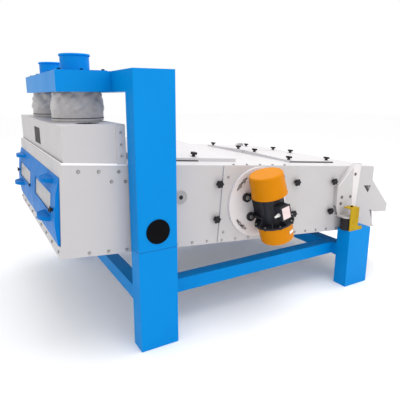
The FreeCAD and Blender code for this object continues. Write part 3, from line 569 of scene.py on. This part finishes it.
def spring_profile(z0, z1):
    """Outline from the bore around the ribbed outside and back."""
    out = [(SPRING_BORE, z0)]
    for k in range(SPRING_STEPS + 1):
        t = k / SPRING_STEPS
        swell = math.cos(math.pi * (SPRING_RIBS * t + 0.5)) ** 2
        out.append((SPRING_R - RIB_DEPTH + RIB_DEPTH * swell ** 0.6, z0 + (z1 - z0) * t))
    return out + [(SPRING_BORE, z1), (SPRING_BORE, z0)]


def rubber_springs(tag):
    node = tag + "_rubber_springs"
    x, z0, z1 = mid(node).x, low(node).z, high(node).z
    for side, sign in SIDES:
        bm = bmesh.new()
        add_spun(bm, spring_profile(z0, z1), (x, sign * POST_MID))
        spring = finish_mesh(bm, tag + "_spring_" + side, RUBBER, None)
        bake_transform(spring)
        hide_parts(node)


rubber_springs("inlet")
rubber_springs("discharge")


# Vibration motors, each in its own upright axes with +Y towards the disc

AXIS_OUT = 0.150
BOX_TURN = -2.0
BODY_R = 0.086
BODY_HALF = 0.113
UPPER_FLANGE_R = 0.119
UPPER_FLANGE_Z = 0.106
UPPER_FLANGE_T = 0.014
BLOCK_X = 0.055
BLOCK_Y = 0.050
BLOCK_Z = 0.090
FOOT_X = 0.098
FOOT_Z = 0.076
FOOT_HALF = 0.020
FOOT_T = 0.020
FOOT_GAP = 0.002
WEB_IN = 0.018
WEB_HALF = 0.009
LUG_R = 0.033
LUG_T = 0.0202
LUG_GAP = 0.0002
RIB_HALF = 0.003
RIB_SINK = 0.004
RIB_OUT = 0.005
RIB_Z0 = -0.104
RIB_Z1 = 0.092
FLANGE_Z = -0.1195
FLANGE_R = 0.140
FLANGE_T = 0.0125
BOLT_CIRCLE = 0.1335
EAR_Z = -0.1199
EAR_R = 0.0125
EAR_T = 0.0170
GUSSET_Z = -0.1075
GUSSET_H = 0.070
GUSSET_R = 0.139
GUSSET_W = 0.007
SCREW_Z = -0.1031
SCREW_R = 0.005
SCREW_H = 0.006
LIP_LOW_Z = -0.1212
LIP_HIGH_Z = 0.0935
LIP_IN = 0.1215
LIP_OUT = 0.1268
LIP_H = 0.006
TERMINAL_X = 0.038
TERMINAL_Z0 = -0.056
TERMINAL_Z1 = 0.044
TERMINAL_FACE = -0.152
TERMINAL_BACK = -0.0740
LID_RIM = 0.003
LID_T = 0.004
LID_LAP = 0.0005
PLATE_X = 0.031
PLATE_Z0 = -0.048
PLATE_Z1 = 0.036
PLATE_T = 0.001
PLATE_OUT = 0.0048
GLAND_WAY = (-1, 0, -0.12)
TAG_X = 0.021
TAG_Y0 = -0.1243
TAG_Y1 = -0.1205
TAG_Z0 = -0.192
TAG_Z1 = -0.172
TAG_TURN = 20.0


def motor_matrix(side, sign):
    disc = "motor_disc_" + side
    c = mid(disc)
    face = high(disc).y if sign > 0 else low(disc).y
    place = Matrix.Translation((c.x, face + sign * AXIS_OUT, c.z))
    mirror = Matrix.Diagonal((1.0, -sign, 1.0, 1.0))
    return place @ Matrix.Rotation(-THROW, 4, "Y") @ mirror


def turned(m, degrees):
    return m @ Matrix.Rotation(math.radians(degrees), 4, "Z")


def bolt_place(k, z):
    """Place of flange bolt k, of eight."""
    a = math.radians(45.0 * k + 22.5)
    return (BOLT_CIRCLE * math.cos(a), BOLT_CIRCLE * math.sin(a), z)


def motor_body(side, m, body):
    """Slim cast body with its upper flange, foot block, foot bars and round lugs."""
    bm = bmesh.new()
    add_cylinder(bm, (0, 0, -BODY_HALF), (0, 0, 1), BODY_R, 2.0 * BODY_HALF, 64, matrix=m)
    add_cylinder(bm, (0, 0, UPPER_FLANGE_Z), (0, 0, 1), UPPER_FLANGE_R, UPPER_FLANGE_T, 64, matrix=m)
    seat = AXIS_OUT - LUG_GAP
    foot_y = AXIS_OUT - FOOT_GAP
    web_x = FOOT_X - WEB_IN
    add_box(bm, (-BLOCK_X, BLOCK_Y, -BLOCK_Z), (BLOCK_X, seat, BLOCK_Z), m)
    for z in (-FOOT_Z, FOOT_Z):
        add_box(bm, (-FOOT_X, foot_y - FOOT_T, z - FOOT_HALF), (FOOT_X, foot_y, z + FOOT_HALF), m)
        add_box(bm, (-web_x, 0.020, z - WEB_HALF), (web_x, foot_y - FOOT_T / 2.0, z + WEB_HALF), m)
        for x in (-FOOT_X, FOOT_X):
            add_cylinder(bm, (x, seat, z), (0, -1, 0), LUG_R, LUG_T, 32, matrix=m)
    o = finish_mesh(bm, "motor_body_" + side, CAST_BLACK, body, bevel_width=0.002)
    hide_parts("motor_housing_" + side)


def motor_ribs(side, m, body):
    """Low ribs between the end flanges, clear of the feet and the terminal box."""
    feet_share = 0.55
    box_clear = 27.0
    bm = bmesh.new()
    for angle in range(15, 360, 30):
        by_feet = math.sin(math.radians(angle)) > feet_share
        by_box = abs(angle - 270.0 - BOX_TURN) < box_clear
        if not by_feet and not by_box:
            add_box(bm, (BODY_R - RIB_SINK, -RIB_HALF, RIB_Z0), (BODY_R + RIB_OUT, RIB_HALF, RIB_Z1),
                    turned(m, angle))
    finish_mesh(bm, "motor_ribs_" + side, CAST_BLACK, body, flat=True)


def motor_flange(side, m, body):
    """Wide lower flange with eight bolt ears and the gussets that stand on it."""
    web_r = BODY_R - 0.002
    gusset = [(web_r, GUSSET_Z), (GUSSET_R, GUSSET_Z), (web_r, GUSSET_Z + GUSSET_H)]
    feet_clear = 50.0
    bm = bmesh.new()
    add_ring(bm, FLANGE_Z, FLANGE_T, BODY_R - 0.001, FLANGE_R, m)
    half = Matrix.Translation((0.0, -GUSSET_W / 2.0, 0.0))
    for k in range(8):
        add_cylinder(bm, bolt_place(k, EAR_Z), (0, 0, 1), EAR_R, EAR_T, 20, matrix=m)
        if abs(45.0 * k - 90.0) > feet_clear:
            add_plate(bm, gusset, GUSSET_W, turned(m, 45.0 * k) @ half)
    finish_mesh(bm, "motor_flange_" + side, CAST_BLACK, body, bevel_width=0.0015)


def cap_lips(side, m, body):
    """Rolled lip on the open end of each cap."""
    bm = bmesh.new()
    for z, height in ((LIP_LOW_Z, -LIP_H), (LIP_HIGH_Z, LIP_H)):
        add_ring(bm, z, height, LIP_IN, LIP_OUT, m)
    finish_mesh(bm, "motor_cap_lips_" + side, ORANGE, body, bevel_width=0.0015)


def flange_screws(side, m, body):
    bm = bmesh.new()
    for k in range(8):
        add_cylinder(bm, bolt_place(k, SCREW_Z), (0, 0, 1), SCREW_R, SCREW_H, 6, matrix=m)
    finish_mesh(bm, "motor_flange_screws_" + side, ZINC, body, flat=True)


def terminal_box(side, m, body):
    """Terminal box with its lid, a bare plate on it, and the cable gland."""
    m = turned(m, BOX_TURN)
    bm = bmesh.new()
    add_box(bm, (-TERMINAL_X, TERMINAL_FACE, TERMINAL_Z0),
            (TERMINAL_X, TERMINAL_BACK, TERMINAL_Z1), m)
    shell = finish_mesh(bm, "terminal_shell_" + side, CAST_BLACK, body, bevel_width=0.003)
    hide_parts("motor_terminal_box_" + side)
    lid_x = TERMINAL_X + LID_RIM
    bm = bmesh.new()
    add_box(bm, (-lid_x, TERMINAL_FACE - LID_T, TERMINAL_Z0 - LID_RIM),
            (lid_x, TERMINAL_FACE + LID_LAP, TERMINAL_Z1 + LID_RIM), m)
    finish_mesh(bm, "terminal_lid_" + side, CAST_BLACK, body, bevel_width=0.0015)
    plate_y = TERMINAL_FACE - PLATE_OUT
    bm = bmesh.new()
    add_box(bm, (-PLATE_X, plate_y, PLATE_Z0), (PLATE_X, plate_y + PLATE_T, PLATE_Z1), m)
    finish_mesh(bm, "terminal_plate_" + side, PALE_TAG, body, flat=True)
    bm = bmesh.new()
    add_cylinder(bm, (-0.037, -0.127, -0.012), GLAND_WAY, 0.0125, 0.016, 6, matrix=m)
    add_cylinder(bm, (-0.052, -0.127, -0.014), GLAND_WAY, 0.0095, 0.024, 20, 0.007, m)
    finish_mesh(bm, "cable_gland_" + side, PALE_PLASTIC, body, bevel_width=0.001)


def cap_tag(side, m, body):
    """Small bare tag on the lower cap."""
    bm = bmesh.new()
    add_box(bm, (-TAG_X, TAG_Y0, TAG_Z0), (TAG_X, TAG_Y1, TAG_Z1), turned(m, TAG_TURN))
    finish_mesh(bm, "cap_tag_" + side, PALE_PLASTIC, body, flat=True)


MOTOR_PIECES = (motor_body, motor_ribs, motor_flange, cap_lips, flange_screws, terminal_box,
                cap_tag)
for side, sign in SIDES:
    for make in MOTOR_PIECES:
        make(side, motor_matrix(side, sign), "drive_" + side)


# Doors: window rims and catches, and the latches' levers

DOOR_FACE = -0.434
DOOR_LEAN = math.atan(14.0 / 135.0)
RIM_W = 0.006
PANE_Z = 0.9825
PANE_LAP = 0.008
PANE_HALF_Z = 0.0575
RIM_OUT = 0.0022
RIM_SINK = 0.001
CATCH_R = 0.010
CATCH_L = 0.012
CATCH_Y = 0.016
CATCH_Z = 0.012


def window_rim(side, m, half_y):
    """Four thin strips around the pane."""
    y, z = half_y, PANE_HALF_Z
    out_y, out_z = y + RIM_W, z + RIM_W
    bm = bmesh.new()
    for a, b in (((-out_y, -out_z), (out_y, -z)),
                 ((-out_y, z), (out_y, out_z)),
                 ((-out_y, -z), (-y, z)),
                 ((y, -z), (out_y, z))):
        add_box(bm, (-RIM_OUT,) + a, (RIM_SINK,) + b, m)
    finish_mesh(bm, "window_rim_" + side, DOOR_BLUE, "door_" + side, bevel_width=0.0008)


def window_catch(side, m, half_y):
    """Round black catch in the lower corner of the pane."""
    place = (RIM_SINK, -half_y + CATCH_Y, -PANE_HALF_Z + CATCH_Z)
    bm = bmesh.new()
    add_cylinder(bm, place, (-1, 0, 0), CATCH_R, CATCH_L, 20, matrix=m)
    finish_mesh(bm, "window_catch_" + side, KNOB_BLACK, "door_" + side, bevel_width=0.0015)


def latch_lever(side):
    """Round boss with a short upright lever on its end."""
    c = mid("door_latch_" + side)
    seat = high("door_latch_" + side).x
    boss_r, boss_l = 0.0115, 0.012
    half_w, half_l = 0.0055, 0.020
    outer, inner = seat - 0.0165, seat - 0.0105
    bm = bmesh.new()
    add_cylinder(bm, (seat, c.y, c.z), (-1, 0, 0), boss_r, boss_l, 24)
    add_box(bm, (outer, c.y - half_w, c.z - half_l), (inner, c.y + half_w, c.z + half_l))
    lever = finish_mesh(bm, "latch_lever_" + side, KNOB_BLACK, "latch_" + side, bevel_width=0.0015)
    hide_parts("door_latch_" + side)


for side, sign in SIDES:
    pane = "window_" + side
    place = Matrix.Translation((DOOR_FACE + SHIFT, mid(pane).y, PANE_Z))
    place = place @ Matrix.Rotation(DOOR_LEAN, 4, "Y")
    half_y = (high(pane).y - low(pane).y) / 2.0 - PANE_LAP
    window_rim(side, place, half_y)
    window_catch(side, place, half_y)
    latch_lever(side)


# Hood and deck: bare dark plate, black seals under the lids that also paint the shadow of the gap
# under their edges, bright trim

HOOD_PLATE_Y = (-0.115, 0.105)
HOOD_PLATE_Z = (1.268, 1.382)
HOOD_PLATE_OUT = 0.0022
HOOD_PLATE_SINK = 0.0005
SEAL_RUNS = ((0.112, 0.60), (1.472, 1.975))
SEAL_Y = 0.6535
SEAL_UP = 0.004
SEAL_HALF = 0.003
SEAL_HALF_H = 0.0035
TRIM_U0 = -0.3865
TRIM_L = 0.384
TRIM_H = 0.012


def deck_matrix(u, y, w):
    return Matrix.Translation(deck(u, y, w)) @ Matrix.Rotation(TILT, 4, "Y")


def hood_plate():
    x = low("feed_hood").x
    (y0, y1), (z0, z1) = HOOD_PLATE_Y, HOOD_PLATE_Z
    bm = bmesh.new()
    add_box(bm, (x - HOOD_PLATE_OUT, y0, z0), (x + HOOD_PLATE_SINK, y1, z1))
    finish_mesh(bm, "hood_plate", DARK_TAG, "sieve_box", bevel_width=0.0006)


# Black rubber strips under the lids' near and far edges; they also stand in for the shadow in the
# gap under the lids, as painted shade
def lid_seals_and_gap_shade():
    bm = bmesh.new()
    for u0, u1 in SEAL_RUNS:
        for side, sign in SIDES:
            add_box(bm, (0.0, -SEAL_HALF, -SEAL_HALF_H), (u1 - u0, SEAL_HALF, SEAL_HALF_H),
                    deck_matrix(u0, sign * SEAL_Y, SEAL_UP))
    finish_mesh(bm, "lid_seals_and_gap_shade", RUBBER, "sieve_box", flat=True)


def hood_trim():
    """Bright strip along both sides and the front, where the hood meets the top frame."""
    side_t = 0.0012
    bm = bmesh.new()
    for side, sign in SIDES:
        add_box(bm, (0.0, -side_t, -TRIM_H / 2.0), (TRIM_L, side_t, TRIM_H / 2.0),
                deck_matrix(TRIM_U0, sign * (BOX_HALF + 0.0006), 0.0005))
    add_box(bm, (-0.0016, -BOX_HALF, -0.004), (0.0008, BOX_HALF, TRIM_H - 0.004),
            deck_matrix(TRIM_U0, 0.0, 0.0))
    finish_mesh(bm, "hood_trim", TRIM_WHITE, "sieve_box", bevel_width=0.0005)


hood_plate()
lid_seals_and_gap_shade()
hood_trim()


# Weld seams of the tall posts, and the washers under the side plates' bolts

SEAM_OUT = 0.0004
SEAM_HALF = 0.0015
UPPER_ROWS = [(-0.290, -0.043), (-0.172, -0.043), (-0.050, -0.043), (-0.092, -0.103),
              (-0.006, -0.103)]
LOWER_W = -0.538
LOWER_PITCH = 0.118
LOWER_ROW = [(0.024 + LOWER_PITCH * k, LOWER_W) for k in range(-2, 19) if not 4 < k < 11]
WASHER_R = 0.0105
WASHER_T = 0.0025
WASHER_SINK = 0.0003


def post_weld_seams():
    z = low("portal_post_near").z
    bm = bmesh.new()
    for side, sign in SIDES:
        a, b = low("portal_post_" + side), high("portal_post_" + side)
        add_box(bm, (a.x - SEAM_OUT, a.y - SEAM_OUT, z - SEAM_HALF),
                (b.x + SEAM_OUT, b.y + SEAM_OUT, z + SEAM_HALF))
    finish_mesh(bm, "post_weld_seams", SEAM, "frame", flat=True)


def bolt_washers(name, row, mat):
    bm = bmesh.new()
    for u, w in row:
        for side, sign in SIDES:
            p = deck(u, sign * (BOX_HALF - WASHER_SINK), w)
            add_cylinder(bm, p, (0, sign, 0), WASHER_R, WASHER_T, 20)
    finish_mesh(bm, name, mat, "sieve_box", bevel_width=0.0005)


post_weld_seams()
# Upper washers in the darker zinc, as painted shade
bolt_washers("side_bolt_washers", UPPER_ROWS, SHADED_BOLT_ZINC)
bolt_washers("lower_bolt_washers", LOWER_ROW, BOLT_ZINC)


# Fold, edge and bolts on the face of each discharge spring bracket, from its spring's centre; the
# fold and edge are in the brighter disc white as painted highlight

BRACKET_OUT = 0.035
FOLD_SINK = 0.001
FOLD_T = 0.0026
BRACKET_Y = BOX_HALF + BRACKET_OUT - FOLD_SINK
SEAT_X = mid("discharge_rubber_springs").x
SEAT_Z = high("discharge_rubber_springs").z
FOLD = [(0.090, 0.424), (0.120, 0.440), (0.184, 0.433), (0.157, 0.145), (0.150, 0.060),
        (0.100, 0.060)]
UPPER_EDGE = [(-0.080, 0.262), (0.086, 0.423), (0.092, 0.417), (-0.074, 0.256)]
BRACKET_BOLTS = [(0.118, 0.350), (0.080, 0.160), (-0.024, 0.166), (-0.032, 0.112)]
HEAD_R = 0.010
HEAD_H = 0.009
BIG_WASHER_R = 0.014
BIG_WASHER_T = 0.0035


# Painted highlight: thin plates in the brighter disc white where light catches the bracket's fold
# and upper edge
def bracket_fold_highlights():
    bm = bmesh.new()
    for side, sign in SIDES:
        place = Matrix.Translation((SEAT_X, sign * BRACKET_Y, SEAT_Z))
        for outline in (FOLD, UPPER_EDGE):
            add_plate(bm, outline, sign * FOLD_T, place)
    finish_mesh(bm, "bracket_fold_highlights", PLATE_WHITE, "sieve_box", bevel_width=0.0005)


def bracket_bolts():
    bm = bmesh.new()
    for u, w in BRACKET_BOLTS:
        for side, sign in SIDES:
            p = (SEAT_X + u, sign * BRACKET_Y, SEAT_Z + w)
            add_cylinder(bm, p, (0, sign, 0), HEAD_R, HEAD_H, 6)
            add_cylinder(bm, p, (0, sign, 0), BIG_WASHER_R, BIG_WASHER_T, 24)
    finish_mesh(bm, "bracket_bolts", SHADED_BOLT_ZINC, "sieve_box", bevel_width=0.0005)


bracket_fold_highlights()
bracket_bolts()


# Rubber plug and painted face on the boss of each side plate

BOSS_X = 0.362 + SHIFT
BOSS_Z = 0.948
PLUG_R = 0.0146
PLUG_T = 0.006
PLUG_OUT = 0.0012
FACE_R = 0.046
FACE_T = 0.0012
FACE_OUT = 0.0041


def side_discs(name, mat, out, radius, thick, segments, bevel_width):
    bm = bmesh.new()
    for side, sign in SIDES:
        p = (BOSS_X, sign * (BOX_HALF + out), BOSS_Z)
        add_cylinder(bm, p, (0, sign, 0), radius, thick, segments)
    finish_mesh(bm, name, mat, "sieve_box", bevel_width=bevel_width)


side_discs("side_plugs", RUBBER, PLUG_OUT, PLUG_R, PLUG_T, 28, 0.001)
side_discs("boss_faces", BOSS_GREY, FACE_OUT, FACE_R, FACE_T, 48, 0.0005)


# Floor, light and camera

FLOOR_HALF = 30.0
AIM = (0.0, 0.0, 0.8)
EYE = (-1.8407, -3.1544, 1.600)
EYE_TURN = (math.radians(76.9), 0.0, math.radians(-29.6))


def pale_floor():
    mat = material("pale_floor", (0.985, 0.985, 0.985, 1.0), (0.975, 0.975, 0.975, 1.0), 0.9,
                   spec=0.1, stain=0.2, stain_scale=0.4, grain=20.0, bump=0.0)
    bm = bmesh.new()
    bmesh.ops.create_grid(bm, x_segments=1, y_segments=1, size=FLOOR_HALF)
    floor = finish_mesh(bm, "floor", mat, None, flat=True)


def white_sky():
    world = bpy.data.worlds.new("soft_sky")
    bpy.context.scene.world = world
    world.use_nodes = True
    sky = world.node_tree.nodes["Background"]
    sky.inputs["Color"].default_value = (1.0, 1.0, 1.0, 1.0)
    sky.inputs["Strength"].default_value = 1.0


def softbox(name, place, size, power):
    data = bpy.data.lights.new(name, "AREA")
    data.size = size
    data.energy = power
    o = bpy.data.objects.new(name, data)
    bpy.context.collection.objects.link(o)
    o.location = place
    o.rotation_euler = (Vector(AIM) - Vector(place)).to_track_quat("-Z", "Y").to_euler()


def camera():
    data = bpy.data.cameras.new("camera")
    data.sensor_width = 36.0
    data.lens = 36.58
    data.shift_x = 0.0068
    data.shift_y = -0.0236
    o = bpy.data.objects.new("camera", data)
    bpy.context.collection.objects.link(o)
    o.location = EYE
    o.rotation_euler = EYE_TURN
    bpy.context.scene.camera = o


pale_floor()
white_sky()
softbox("top_softbox", (0.3, -0.6, 5.5), 4.5, 190.0)
softbox("front_softbox", (1.2, -6.5, 2.6), 3.0, 42.0)
camera()
bpy.context.scene.view_settings.view_transform = "Standard"
